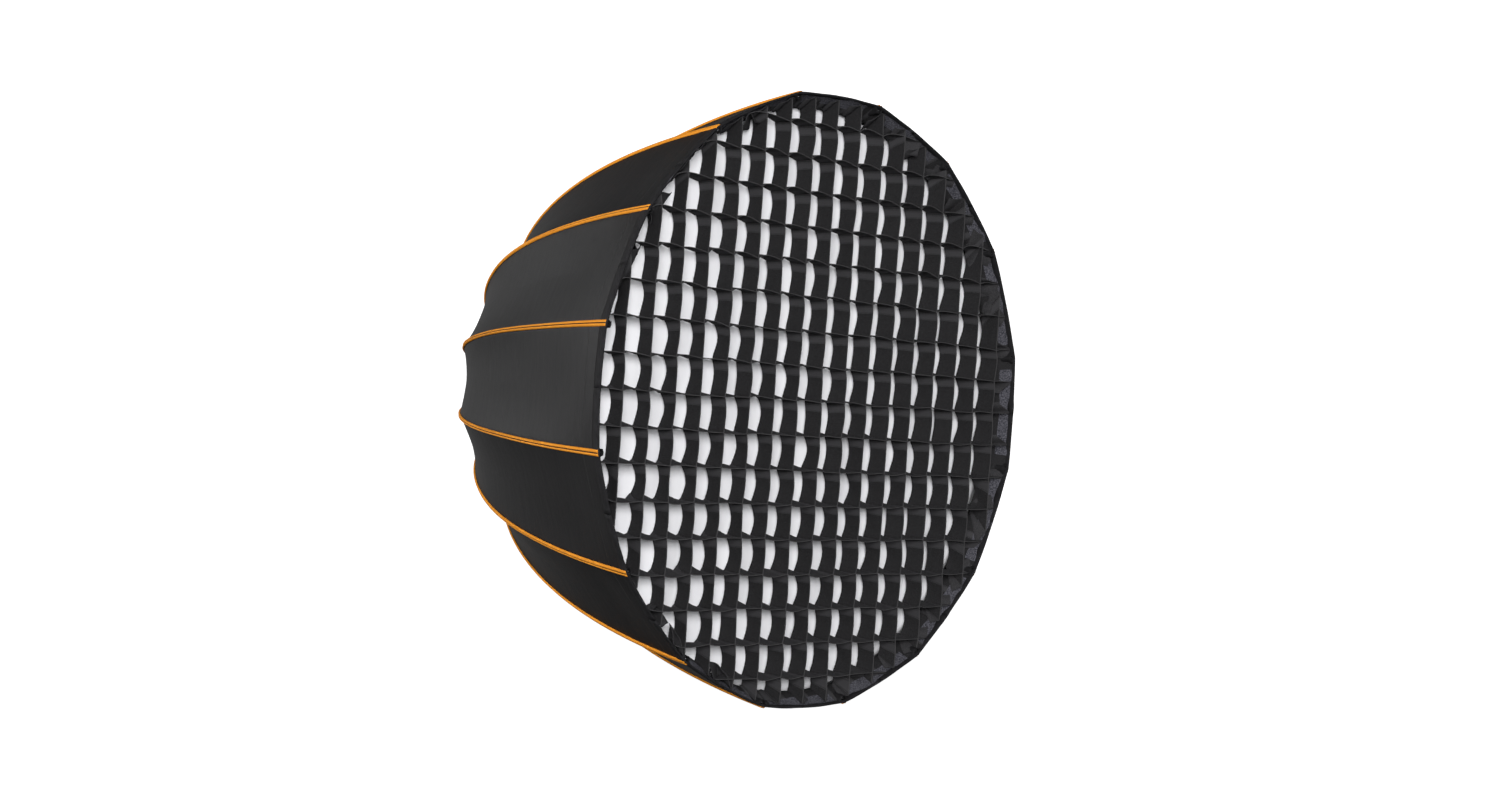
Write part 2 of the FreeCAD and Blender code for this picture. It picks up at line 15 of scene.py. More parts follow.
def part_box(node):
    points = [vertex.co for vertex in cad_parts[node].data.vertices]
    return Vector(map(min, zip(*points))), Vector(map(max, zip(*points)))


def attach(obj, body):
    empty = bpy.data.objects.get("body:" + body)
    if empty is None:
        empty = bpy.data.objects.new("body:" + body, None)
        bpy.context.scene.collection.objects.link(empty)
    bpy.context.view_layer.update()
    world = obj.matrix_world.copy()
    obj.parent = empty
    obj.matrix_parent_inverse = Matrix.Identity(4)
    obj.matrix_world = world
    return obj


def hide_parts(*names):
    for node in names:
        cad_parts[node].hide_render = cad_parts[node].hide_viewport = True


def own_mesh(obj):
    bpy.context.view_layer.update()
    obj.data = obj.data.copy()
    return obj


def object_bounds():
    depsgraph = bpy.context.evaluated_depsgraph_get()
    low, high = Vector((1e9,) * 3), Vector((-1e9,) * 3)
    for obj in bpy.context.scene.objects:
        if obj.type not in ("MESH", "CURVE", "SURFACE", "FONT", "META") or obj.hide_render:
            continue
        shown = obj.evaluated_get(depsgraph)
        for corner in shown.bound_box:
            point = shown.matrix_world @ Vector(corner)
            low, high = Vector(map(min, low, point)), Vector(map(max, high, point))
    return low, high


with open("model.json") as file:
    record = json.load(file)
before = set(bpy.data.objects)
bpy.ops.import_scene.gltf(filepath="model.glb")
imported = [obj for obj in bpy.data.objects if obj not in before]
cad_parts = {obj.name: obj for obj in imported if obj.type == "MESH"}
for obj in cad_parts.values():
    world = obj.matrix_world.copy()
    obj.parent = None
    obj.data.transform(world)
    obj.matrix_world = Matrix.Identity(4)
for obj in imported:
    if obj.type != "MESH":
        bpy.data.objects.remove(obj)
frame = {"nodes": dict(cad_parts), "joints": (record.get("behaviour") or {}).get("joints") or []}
cad_low, cad_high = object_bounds()
rng = np.random.default_rng(16)

MM = 0.001

# ---------------------------------------------------------------- sizes
JOINTS = {joint["name"]: joint for joint in frame["joints"]}
RIBS = sum(1 for name in frame["nodes"] if name.startswith("rib_holder_"))
PITCH_DEG = 360.0 / RIBS
HALF_PITCH = math.radians(PITCH_DEG / 2)
FIRST_RIB_DEG = 101.25
DEPTH = -cad_low[1]                       # lamp seat to rim
OPEN_R = (cad_high[0] - cad_low[0]) / 2 / math.cos(HALF_PITCH)
PIVOT_R, PIVOT_F = 88 * MM, 16 * MM       # a rib's hinge pin: radius, forward
FOLD = math.radians(JOINTS["rib_fold_01"]["range_deg"][1])
NECK_R = 122 * MM                         # rear edge of the gores
CLOTH = 1.2 * MM                          # shell cloth with its lining
STRIP = 0.9 * MM                          # one layer of grid strip, diffuser or baffle cloth
HEM = 38 * MM                             # doubled cloth behind the rim
RIM_BULGE = 4.4 * MM                      # how far the skirt presses the rim out between ribs
GRID_PITCH = 50 * MM

# meridian along a rib, as Bezier poles (radius, forward)
RIB_POLES = np.array([
    (PIVOT_R, 12 * MM),
    (195 * MM, -14 * MM),
    (377 * MM, 126 * MM),
    (OPEN_R, DEPTH),
])
GORE_PULL = (0, 5 * MM, 14 * MM, 0)       # cloth drawn in between two ribs, per pole

# ---------------------------------------------------------------- geometry helpers


def rib_angle(number):
    return math.radians(FIRST_RIB_DEG + (number - 1) * PITCH_DEG)


def off_rib(angle):
    """How far a direction is from the nearest rib."""
    past = (angle - rib_angle(1)) % (2 * HALF_PITCH)
    return np.minimum(past, 2 * HALF_PITCH - past)


def rim_polygon(angle):
    """A polygon with a corner on each rib: its radius at an angle, as a share of its corners'."""
    return math.cos(HALF_PITCH) / np.cos(HALF_PITCH - off_rib(angle))


def row_point(radius, angle, forward):
    radius, angle, forward = np.broadcast_arrays(radius, angle, forward)
    return np.stack([radius * np.cos(angle), -forward, radius * np.sin(angle)], axis=-1)


def bezier(poles, t):
    t = np.asarray(t, float)[..., None]
    basis = [(1 - t) ** 3, 3 * t * (1 - t) ** 2, 3 * t * t * (1 - t), t ** 3]
    return sum(b * np.asarray(p) for b, p in zip(basis, poles))


def smooth(x):
    x = np.clip(x, 0, 1)
    return x * x * (3 - 2 * x)


class Meridian:
    """Rib meridian by arc length back from the rim."""

    def __init__(self):
        self.t = np.linspace(0, 1, 2001)
        self.points = bezier(RIB_POLES, self.t)
        steps = np.linalg.norm(np.diff(self.points, axis=0), axis=1)
        self.back = np.concatenate([[0], np.cumsum(steps[::-1])])[::-1]

    def at(self, back):
        """Radius, forward, outward normal and curve parameter at a distance behind the rim."""
        t = np.interp(back, self.back[::-1], self.t[::-1])
        here = bezier(RIB_POLES, t)
        ahead = bezier(RIB_POLES, np.clip(t + 1e-4, 0, 1))
        behind = bezier(RIB_POLES, np.clip(t - 1e-4, 0, 1))
        way = ahead - behind
        way /= np.linalg.norm(way, axis=-1, keepdims=True)
        normal = np.stack([way[..., 1], -way[..., 0]], axis=-1)
        return here[..., 0], here[..., 1], normal, t

    def back_at_radius(self, radius):
        return float(np.interp(radius, self.points[:, 0], self.back))


MERIDIAN = Meridian()
PANEL_LENGTH = MERIDIAN.back_at_radius(NECK_R)


def shell_point(back, across, lift, turn):
    """Point off the shell's outer face. across runs -1..1 from gore middle to gore middle."""
    radius, forward, normal, t = MERIDIAN.at(back)
    share = np.abs(across)
    side = np.sign(across)
    chord = radius * np.cos(HALF_PITCH)
    # straight chord from the rib to the gore's middle, then the cloth's pull inward
    mid = np.stack([chord * math.cos(HALF_PITCH), chord * math.sin(HALF_PITCH)], axis=-1)
    rib = np.stack([radius, np.zeros_like(radius)], axis=-1)
    flat = rib * (1 - share)[..., None] + mid * share[..., None]
    pull = bezier(np.array(GORE_PULL)[:, None], t)[..., 0] * (1 - (1 - share) ** 2)
    drop = lift - pull
    heading = np.arctan2(flat[..., 1], np.maximum(flat[..., 0], 1e-9)) * side
    reach = np.hypot(flat[..., 0], flat[..., 1])
    facing = HALF_PITCH * side * np.minimum(1, share * 3)
    x = reach * np.cos(heading) + drop * normal[..., 0] * np.cos(facing)
    y = reach * np.sin(heading) + drop * normal[..., 0] * np.sin(facing)
    f = forward + drop * normal[..., 1]
    return row_point(np.hypot(x, y), np.arctan2(y, x) + turn, f)


def mesh_piece(name, verts, faces, materials, face_slots=None, uvs=None):
    """Smooth object from arrays. uvs has one (u, v) for each vertex, in metres of cloth."""
    mesh = bpy.data.meshes.new(name)
    points = np.reshape(verts, (-1, 3)).tolist()
    mesh.from_pydata(points, [], [tuple(int(i) for i in f) for f in faces])
    for material in materials:
        mesh.materials.append(material)
    if face_slots is not None:
        mesh.polygons.foreach_set("material_index", np.asarray(face_slots, np.int32))
    if uvs is not None:
        layer = mesh.uv_layers.new(name="cloth")
        loops = np.empty(len(mesh.loops), np.int32)
        mesh.loops.foreach_get("vertex_index", loops)
        layer.data.foreach_set("uv", np.reshape(uvs, (-1, 2)).astype(np.float32)[loops].ravel())
    mesh.polygons.foreach_set("use_smooth", [True] * len(mesh.polygons))
    mesh.validate()
    mesh.update()
    obj = bpy.data.objects.new(name, mesh)
    bpy.context.scene.collection.objects.link(obj)
    return obj


def grid_faces(rows, cols, start=0, wrap=False):
    """Quads of a rows x cols grid of vertices; wrap joins the last column to the first."""
    last = cols if wrap else cols - 1
    i, j = np.meshgrid(np.arange(rows - 1), np.arange(last), indexing="ij")
    a = start + i * cols + j
    b = start + i * cols + (j + 1) % cols
    return np.stack([a, b, b + cols, a + cols], axis=-1).reshape(-1, 4)


def ring_faces(rows, cols):
    """Quads of a tube bent into a ring, whose last row of vertices is joined to its first."""
    here = np.arange(cols)
    after = (here + 1) % cols
    seam = (rows - 1) * cols
    close = np.stack([seam + here, seam + after, after, here], axis=-1)
    return np.concatenate([grid_faces(rows, cols, wrap=True), close])


def two_sided(name, front, back, materials, uv, slots=(0, 1, 0)):
    """Closed thin sheet from two grids of points; slots are of its front, its back, its edge."""
    rows, cols = front.shape[:2]
    count = rows * cols
    top = grid_faces(rows, cols)
    under = grid_faces(rows, cols, count)[:, ::-1]
    ring = np.concatenate([
        np.arange(cols), np.arange(1, rows) * cols + cols - 1,
        (rows - 1) * cols + np.arange(cols - 2, -1, -1), np.arange(rows - 2, 0, -1) * cols,
    ])
    after = np.roll(ring, -1)
    edge = np.stack([after, ring, ring + count, after + count], axis=-1)
    faces = np.concatenate([top, under, edge])
    marks = np.repeat(slots, [len(top), len(under), len(edge)])
    piece = mesh_piece(name, np.stack([front, back]), faces, materials, marks, np.stack([uv, uv]))
    crisp_edges(piece, np.concatenate([ring, ring + count]), np.concatenate([after, after + count]))
    return piece


def crisp_edges(piece, starts, ends):
    """Marks edges sharp, so a thin cloth's faces aren't shaded into its cut edge."""
    wanted = {frozenset(pair) for pair in zip(starts.tolist(), ends.tolist())}
    for edge in piece.data.edges:
        if frozenset(edge.vertices) in wanted:
            edge.use_edge_sharp = True


def swept(name, rings, materials, uv, face_slots=None):
    """Capped tube from rings of points (rows, points round, 3)."""
    rows, around = rings.shape[:2]
    faces = list(grid_faces(rows, around, wrap=True))
    faces.append(range(around)[::-1])
    faces.append(range((rows - 1) * around, rows * around))
    marks = None if face_slots is None else [*np.tile(face_slots, rows - 1), 0, 0]
    return mesh_piece(name, rings, faces, materials, marks, uv)


def thicken(points, thick):
    """Front and back faces of a sheet of this thickness around its middle surface."""
    normal = np.cross(np.gradient(points, axis=0), np.gradient(points, axis=1))
    normal /= np.maximum(np.linalg.norm(normal, axis=-1, keepdims=True), 1e-12)
    return points + normal * thick / 2, points - normal * thick / 2


def merge(name, pieces):
    """Joins pieces into one object by name."""
    with bpy.context.temp_override(active_object=pieces[0], selected_editable_objects=pieces):
        bpy.ops.object.join()
    pieces[0].name = name
    pieces[0].data.name = name
    return pieces[0]


def area_of(points):
    """Area of a grid of points."""
    a, b = points[:-1, :-1], points[:-1, 1:]
    c, d = points[1:, 1:], points[1:, :-1]
    one = np.linalg.norm(np.cross(b - a, c - a), axis=-1)
    two = np.linalg.norm(np.cross(c - a, d - a), axis=-1)
    return float((one + two).sum() / 2)


# ---------------------------------------------------------------- materials


class Nodes:
    """Short hand for building a node tree."""

    def __init__(self, name):
        self.material = bpy.data.materials.new(name)
        self.material.use_nodes = True
        self.tree = self.material.node_tree
        self.tree.nodes.clear()
        output = self.add("ShaderNodeOutputMaterial")
        self.shader = self.add("ShaderNodeBsdfPrincipled")
        self.feed(output.inputs[0], self.shader.outputs[0])

    def add(self, kind, **settings):
        node = self.tree.nodes.new(kind)
        for key, value in settings.items():
            setattr(node, key, value)
        return node

    def feed(self, socket, value):
        """Sets a socket to a number or a colour, or links another node's output to it."""
        if isinstance(value, (int, float)):
            socket.default_value = value
        elif isinstance(value, tuple):
            socket.default_value = (*value, 1)
        else:
            self.tree.links.new(value, socket)

    def set(self, **sockets):
        """Uniform values of the shader's own sockets, by name."""
        for key, value in sockets.items():
            self.shader.inputs[key.replace("_", " ")].default_value = value

    def coords(self, kind="UV", scale=(1, 1, 1)):
        source = self.add("ShaderNodeTexCoord")
        mapping = self.add("ShaderNodeMapping")
        mapping.inputs["Scale"].default_value = scale
        self.feed(mapping.inputs["Vector"], source.outputs[kind])
        return mapping.outputs[0]

    def math(self, operation, a, b=None):
        node = self.add("ShaderNodeMath", operation=operation)
        self.feed(node.inputs[0], a)
        if b is not None:
            self.feed(node.inputs[1], b)
        return node.outputs[0]

    def noise(self, vector, scale, detail=4.0, rough=0.55):
        node = self.add("ShaderNodeTexNoise")
        for socket, value in (("Scale", scale), ("Detail", detail), ("Roughness", rough)):
            self.feed(node.inputs[socket], value)
        self.feed(node.inputs["Vector"], vector)
        return node.outputs["Fac"]

    def ramp(self, value, low, high, a, b):
        """Colour that runs from a at low to b at high."""
        node = self.add("ShaderNodeValToRGB")
        node.color_ramp.elements[0].position = low
        node.color_ramp.elements[1].position = high
        node.color_ramp.elements[0].color = (*a, 1)
        node.color_ramp.elements[1].color = (*b, 1)
        self.feed(node.inputs[0], value)
        return node.outputs[0]

    def mix(self, share, a, b):
        node = self.add("ShaderNodeMix", data_type="RGBA")
        for index, value in ((0, share), (6, a), (7, b)):
            self.feed(node.inputs[index], value)
        return node.outputs[2]

    def colour(self, socket):
        self.feed(self.shader.inputs["Base Color"], socket)

    def roughness(self, value, low, high):
        node = self.add("ShaderNodeMapRange")
        for socket, given in (("To Min", low), ("To Max", high), ("Value", value)):
            self.feed(node.inputs[socket], given)
        self.feed(self.shader.inputs["Roughness"], node.outputs[0])

    def bump(self, height, strength, distance):
        """Relief on top of any relief given before."""
        node = self.add("ShaderNodeBump")
        for socket, given in (("Strength", strength), ("Distance", distance), ("Height", height)):
            self.feed(node.inputs[socket], given)
        normal = self.shader.inputs["Normal"]
        if normal.is_linked:
            self.feed(node.inputs["Normal"], normal.links[0].from_socket)
        self.feed(normal, node.outputs[0])

    def split(self, vector):
        node = self.add("ShaderNodeSeparateXYZ")
        self.feed(node.inputs[0], vector)
        return node.outputs[:2]

    def weave(self, vector, threads_per_m):
        """Plain weave: two crossed sets of threads, over and under by turns."""
        turn = math.pi * threads_per_m
        warp, weft = (
            self.math("SINE", self.math("MULTIPLY", way, turn)) for way in self.split(vector)
        )
        over = self.math("MULTIPLY", warp, weft)
        return self.math("ADD", self.math("MULTIPLY", over, 0.5), 0.5)

    def band(self, value, centre, half):
        """1 within half of centre, 0 outside, with a soft edge."""
        away = self.math("ABSOLUTE", self.math("SUBTRACT", value, centre))
        near = self.math("DIVIDE", self.math("SUBTRACT", half, away), half * 0.35)
        return self.math("MINIMUM", self.math("MAXIMUM", near, 0.0), 1.0)

    def dashes(self, value, length, fill=0.62):
        """1 along each stitch of a row, 0 in the gaps between them."""
        phase = self.math("FRACT", self.math("DIVIDE", value, length))
        return self.math("LESS_THAN", phase, fill)


def shell_cloth():
    """Black coated polyester, plain weave, with the hem's stitch line behind the rim and painted
    shade in the crease beside it.
    """
    n = Nodes("shell_cloth")
    uv = n.coords()
    u, v = n.split(uv)
    weave = n.weave(uv, 1500)
    cloud = n.noise(uv, 9, 5)
    fine = n.noise(uv, 420, 2)
    stitch_line = n.band(v, HEM - 0.5 * MM, 0.6 * MM)
    stitch = n.math("MULTIPLY", stitch_line, n.dashes(u, 3.4 * MM))
    crease_and_shade = n.band(v, HEM + 0.8 * MM, 1.1 * MM)
    base = n.ramp(cloud, 0.3, 0.75, (0.0076, 0.0073, 0.0077), (0.0104, 0.0101, 0.0106))
    base = n.mix(n.math("MULTIPLY", fine, 0.18), base, (0.032, 0.031, 0.033))
    # painted shade: the cloth is painted darker along the crease beside the hem's stitch line
    base = n.mix(n.math("MULTIPLY", crease_and_shade, 0.55), base, (0.006, 0.006, 0.006))
    base = n.mix(n.math("MULTIPLY", stitch, 0.35), base, (0.024, 0.024, 0.026))
    n.colour(base)
    n.roughness(cloud, 0.50, 0.60)
    n.set(Specular_IOR_Level=0.12)
    n.bump(weave, 0.35, 0.00012)
    puckers = n.noise(n.coords("UV", (18, 70, 1)), 1.0, 3)
    n.bump(puckers, 0.30, 0.0016)
    n.bump(n.math("SUBTRACT", stitch, crease_and_shade), 0.6, 0.0006)
    return n.material


def silver_lining():
    """Reflective lining: fine embossed grain over silver."""
    n = Nodes("silver_lining")
    uv = n.coords()
    cells = n.add("ShaderNodeTexVoronoi")
    n.feed(cells.inputs["Scale"], 420)
    n.feed(cells.inputs["Vector"], uv)
    cloud = n.noise(uv, 14, 4)
    n.colour(n.ramp(cloud, 0.3, 0.8, (0.62, 0.63, 0.65), (0.74, 0.75, 0.77)))
    n.roughness(cloud, 0.28, 0.42)
    n.set(Metallic=0.85)
    n.bump(cells.outputs["Distance"], 0.35, 0.0004)
    return n.material


def piping_cloth():
    """Orange grosgrain binding: ribs across the tape, and two rows of stitches."""
    n = Nodes("piping_orange")
    uv = n.coords()
    u, v = n.split(uv)
    ribs = n.math("SINE", n.math("MULTIPLY", v, 2 * math.pi / (1.1 * MM)))
    cloud = n.noise(uv, 55, 4)
    fine = n.noise(uv, 700, 2)
    stitch_line = n.band(n.math("ABSOLUTE", u), 1.7 * MM, 0.4 * MM)
    stitch = n.math("MULTIPLY", stitch_line, n.dashes(v, 3.0 * MM))
    base = n.ramp(cloud, 0.25, 0.8, (0.585, 0.213, 0.0150), (0.775, 0.292, 0.0235))
    base = n.mix(n.math("MULTIPLY", fine, 0.25), base, (0.50, 0.16, 0.010))
    base = n.mix(n.math("MULTIPLY", stitch, 0.8), base, (0.78, 0.33, 0.040))
    n.colour(base)
    n.roughness(fine, 0.55, 0.75)
    n.set(Specular_IOR_Level=0.08)
    n.bump(ribs, 0.30, 0.00018)
    n.bump(stitch, 0.7, 0.0004)
    return n.material


def dark_tape(name="binding_black", low=(0.0095, 0.0093, 0.0100), high=(0.0205, 0.0200, 0.0218)):
    """Black woven tape for hems and bindings."""
    n = Nodes(name)
    uv = n.coords()
    ribs = n.math("SINE", n.math("MULTIPLY", n.split(uv)[1], 2 * math.pi / (1.2 * MM)))
    cloud = n.noise(uv, 60, 4)
    n.colour(n.ramp(cloud, 0.3, 0.75, low, high))
    n.roughness(cloud, 0.6, 0.78)
    n.set(Specular_IOR_Level=0.08)
    n.bump(ribs, 0.4, 0.00025)
    n.bump(n.noise(uv, 900, 2), 0.3, 0.0002)
    return n.material


def loop_cloth():
    """Bluish-grey brushed loop: a speckled, fuzzy pile."""
    n = Nodes("brushed_loop")
    where = n.coords("Object")
    speckle = n.noise(where, 520, 4, 0.8)
    curl = n.noise(where, 320, 3, 0.6)
    cloud = n.noise(where, 18, 3)
    base = n.ramp(speckle, 0.40, 0.62, (0.018, 0.018, 0.022), (0.120, 0.119, 0.138))
    base = n.mix(n.math("MULTIPLY", cloud, 0.25), base, (0.036, 0.036, 0.043))
    n.colour(base)
    n.set(Roughness=0.95, Specular_IOR_Level=0.08)
    n.bump(curl, 0.7, 0.0012)
    n.bump(speckle, 0.6, 0.0006)
    return n.material


def grid_cloth(name, low, high):
    """Matte black felt-like strip, doubled and stitched where it passes a crossing, with a painted
    highlight along its front cut edge.
    """
    n = Nodes(name)
    where = n.coords("Object")
    uv = n.coords()
    u, v = n.split(uv)
    speck = n.noise(where, 780, 3, 0.7)
    cloud = n.noise(where, 24, 4)
    phase = n.math("MULTIPLY", n.math("FRACT", n.math("DIVIDE", v, GRID_PITCH)), GRID_PITCH)
    tab_middle, tab_half = GRID_PITCH - 8.5 * MM, 5.0 * MM
    tab = n.band(phase, tab_middle, tab_half)
    seams = (n.band(phase, tab_middle + side * tab_half, 0.5 * MM) for side in (-1, 1))
    stitch = n.math("MULTIPLY", n.math("ADD", *seams), n.dashes(u, 2.6 * MM))
    middle = tuple((a + b) / 2 for a, b in zip(low, high))
    base = n.ramp(speck, 0.35, 0.72, low, high)
    base = n.mix(n.math("MULTIPLY", cloud, 0.35), base, middle)
    base = n.mix(n.math("MULTIPLY", tab, 0.85), base, (0.048, 0.047, 0.050))
    base = n.mix(n.math("MULTIPLY", stitch, 0.6), base, (0.075, 0.074, 0.078))
    lint = n.math("MULTIPLY", n.math("GREATER_THAN", n.noise(where, 1500, 1, 0.5), 0.70), 0.5)
    base = n.mix(lint, base, (0.070, 0.069, 0.072))
    # painted highlight: the fuzzy front cut edge is painted lighter, standing in for light catching
    # its fibres
    cut = n.math("LESS_THAN", u, 1.1 * MM)
    base = n.mix(n.math("MULTIPLY", cut, 0.8), base, (0.060, 0.059, 0.061))
    n.colour(base)
    n.set(Roughness=0.92, Specular_IOR_Level=0.06)
    n.bump(speck, 0.5, 0.0005)
    n.bump(n.math("ADD", tab, stitch), 0.5, 0.0006)
    return n.material


def white_cloth(name="diffuser_white"):
    """Translucent white nylon, fine weave, with faint folds whose hollows are painted darker as
    shade.
    """
    n = Nodes(name)
    where = n.coords("Object")
    folds = n.noise(n.coords("Object", (7, 1, 2.2)), 1.0, 4)
    weave = n.weave(n.coords("UV"), 900)
    # painted shade: the cloth is painted darker where the fold relief is low, in the folds' hollows
    n.colour(n.ramp(folds, 0.25, 0.8, (0.80, 0.80, 0.83), (0.90, 0.90, 0.92)))
    n.set(Roughness=0.75, Specular_IOR_Level=0.2)
    n.bump(weave, 0.2, 0.00015)
    n.bump(folds, 0.16, 0.006)
    n.bump(n.noise(where, 60, 3), 0.06, 0.001)
    return n.material


def metal(name, low, high, rough, grain=2400):
    """Machined or anodised metal with fine grain and cloudy wear."""
    n = Nodes(name)
    where = n.coords("Object")
    cloud = n.noise(where, 40, 5)
    fine = n.noise(where, grain, 2)
    n.colour(n.ramp(cloud, 0.3, 0.75, low, high))
    n.roughness(cloud, rough - 0.07, rough + 0.09)
    n.set(Metallic=1.0)
    n.bump(fine, 0.15, 0.0002)
    return n.material


def plastic(name, low, high, rough):
    """Moulded plastic with a fine matt grain."""
    n = Nodes(name)
    where = n.coords("Object")
    cloud = n.noise(where, 70, 4)
    n.colour(n.ramp(cloud, 0.3, 0.75, low, high))
    n.roughness(cloud, rough - 0.06, rough + 0.08)
    n.bump(n.noise(where, 1600, 2), 0.25, 0.0002)
    return n.material


def studio_white():
    """Floor and back wall of one pale tone, lit a little from within."""
    n = Nodes("studio_white")
    n.set(Base_Color=(0.95, 0.95, 0.95, 1), Roughness=0.9)
    n.set(Emission_Color=(1, 1, 1, 1), Emission_Strength=0.9)
    return n.material


SHELL = shell_cloth()
LINING = silver_lining()
PIPING = piping_cloth()
TAPE = dark_tape()
GROOVE = dark_tape("seam_dark", (0.006, 0.005, 0.005), (0.014, 0.011, 0.010))
LOOP = loop_cloth()
GRID_UPRIGHT = grid_cloth("grid_cloth", (0.0105, 0.0102, 0.0108), (0.0320, 0.0314, 0.0330))
# painted light: the level strips and the strip ends get a lighter copy of the strip cloth, standing
# in for the light on the level strips' top and under faces
GRID_LEVEL = grid_cloth("grid_cloth_painted_light", (0.0200, 0.0196, 0.0210), (0.0540, 0.0528, 0.0558))
WHITE = white_cloth()
BAFFLE_WHITE = white_cloth("baffle_white")

# ---------------------------------------------------------------- shell panels

# Radii where a gore is divided into bands.
BAND_RADII = (OPEN_R, 402 * MM, 337 * MM, 252 * MM, NECK_R)
LAP = np.array([14.0, 7.0, 0.5]) * MM     # rows of a band that lie under the band before it


def folded_share(radius):
    """How much narrower the space between two ribs is at this radius once they are closed."""
    back = MERIDIAN.back_at_radius(radius)
    _, forward, _, _ = MERIDIAN.at(back)
    closed = PIVOT_R + (radius - PIVOT_R) * math.cos(FOLD) - (forward - PIVOT_F) * math.sin(FOLD)
    return float(closed / radius)


def fold_with_rib(piece, number, keep):
    """Swings with a rib."""
    angle = rib_angle(number)
    anchor = tuple(row_point(PIVOT_R, angle, PIVOT_F))
    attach(piece, f"rib_arm_{number:02d}")
    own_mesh(piece)


def shell_lift(back, across, seed):
    """Small relief of the sewn cloth: the doubled hem, and slack waves beside the seams."""
    share = np.abs(across)
    hem = 0.5 * MM * (1 - smooth((back - HEM + 1.2 * MM) / (2.4 * MM)))
    near_rib = np.exp(-40 * share ** 2)
    pucker = 0.28 * MM * near_rib * np.sin(back / (11 * MM) + seed) * smooth(back / (60 * MM))
    slack = 0.9 * MM * np.sin(back / (95 * MM) + seed * 1.7) * (1 - share) * share * 4
    return hem - pucker + slack * smooth(back / (120 * MM))


def rim_bulge(back, across):
    """The grid's skirt presses the rim outward a little between two ribs."""
    return RIM_BULGE * (1 - smooth(back / (110 * MM))) * (1 - (1 - np.abs(across)) ** 2)


def make_shell_panels():
    """Four bands of lined cloth over each rib, from the middle of one gore to the next."""
    across = np.linspace(-1, 1, 21)
    for number in range(1, RIBS + 1):
        for band, (near_r, far_r) in enumerate(zip(BAND_RADII, BAND_RADII[1:])):
            near = MERIDIAN.back_at_radius(near_r)
            far = MERIDIAN.back_at_radius(far_r)
            back = np.linspace(near, far, max(8, int((far - near) / (5 * MM))))
            if band == 0:
                hem_step = HEM + np.array([-1.5, -0.7, 0.0, 0.7, 1.5]) * MM
                back = np.sort(np.concatenate([back, hem_step]))
            else:
                back = np.concatenate([near - LAP, back])
            b, a = np.meshgrid(back, across, indexing="ij")
            lift = shell_lift(b, a, number) * (1 - np.abs(a) ** 6) + rim_bulge(b, a)
            lift -= (0.55 + 1.05 * smooth(np.abs(a) * 3)) * MM * (b < near)
            outer = shell_point(b, a, lift, rib_angle(number))
            inner = shell_point(b, a, lift - CLOTH, rib_angle(number))
            uv = np.stack([a * MERIDIAN.at(b)[0] * math.sin(HALF_PITCH), b], axis=-1)
            name = f"shell_cloth_{number:02d}_{'abcd'[band]}"
            piece = two_sided(name, outer, inner, [SHELL, LINING], uv)
            if band > 0:
                step = len(LAP) * len(across) + np.arange(len(across) - 1)
                crisp_edges(piece, step, step + 1)
            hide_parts(f"shell_panel_{number:02d}")
            # between the shares that suit its two edges, and nearer the rear edge's
            fold_with_rib(piece, number, folded_share(near_r) * 0.34 + folded_share(far_r) * 0.66)


def beside_rib(number, back, side, rise):
    """Points and cloth coordinates by distance behind the rim, off to one side, and outward."""
    radius, forward, normal, _ = MERIDIAN.at(back)
    out = radius[:, None] + rise * normal[:, None, 0]
    ahead = forward[:, None] + rise * normal[:, None, 1]
    angle = np.arctan2(side, out) + rib_angle(number)
    uv = np.stack([side, np.broadcast_to(back[:, None], side.shape)], axis=-1)
    return row_point(np.hypot(out, side), angle, ahead), uv


def make_piping():
    """Folded binding along each rib: two lobes with the dark seam down the middle."""
    # across as a share of the half width, and rise in millimetres
    lobe = [(1.00, 0.05), (0.98, 0.95), (0.86, 2.15), (0.58, 2.95), (0.32, 2.75), (0.17, 1.60)]
    under = [(-0.9, -0.35), (0.9, -0.35)]
    profile = np.array(lobe + [(-x, y) for x, y in lobe[::-1]] + under)[::-1]
    slots = np.zeros(len(profile), int)
    slots[len(under) + len(lobe) - 1] = 1
    back = np.linspace(0, PANEL_LENGTH - 1 * MM, 260)
    width = (3.1 + 1.9 * np.exp(-back[:, None] / (180 * MM))) * MM
    for number in range(1, RIBS + 1):
        wobble = 0.25 * MM * np.sin(back[:, None] / (47 * MM) + number)
        side = profile[:, 0] * width + wobble
        rise = profile[:, 1] * MM * (0.72 + 0.28 * width / (5 * MM))
        rise = rise - np.abs(side) * math.tan(HALF_PITCH * 0.9)
        rings, uv = beside_rib(number, back, side, rise)
        piece = swept(f"rib_piping_{number:02d}", rings, [PIPING, GROOVE], uv, slots)
        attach(piece, f"rib_arm_{number:02d}")


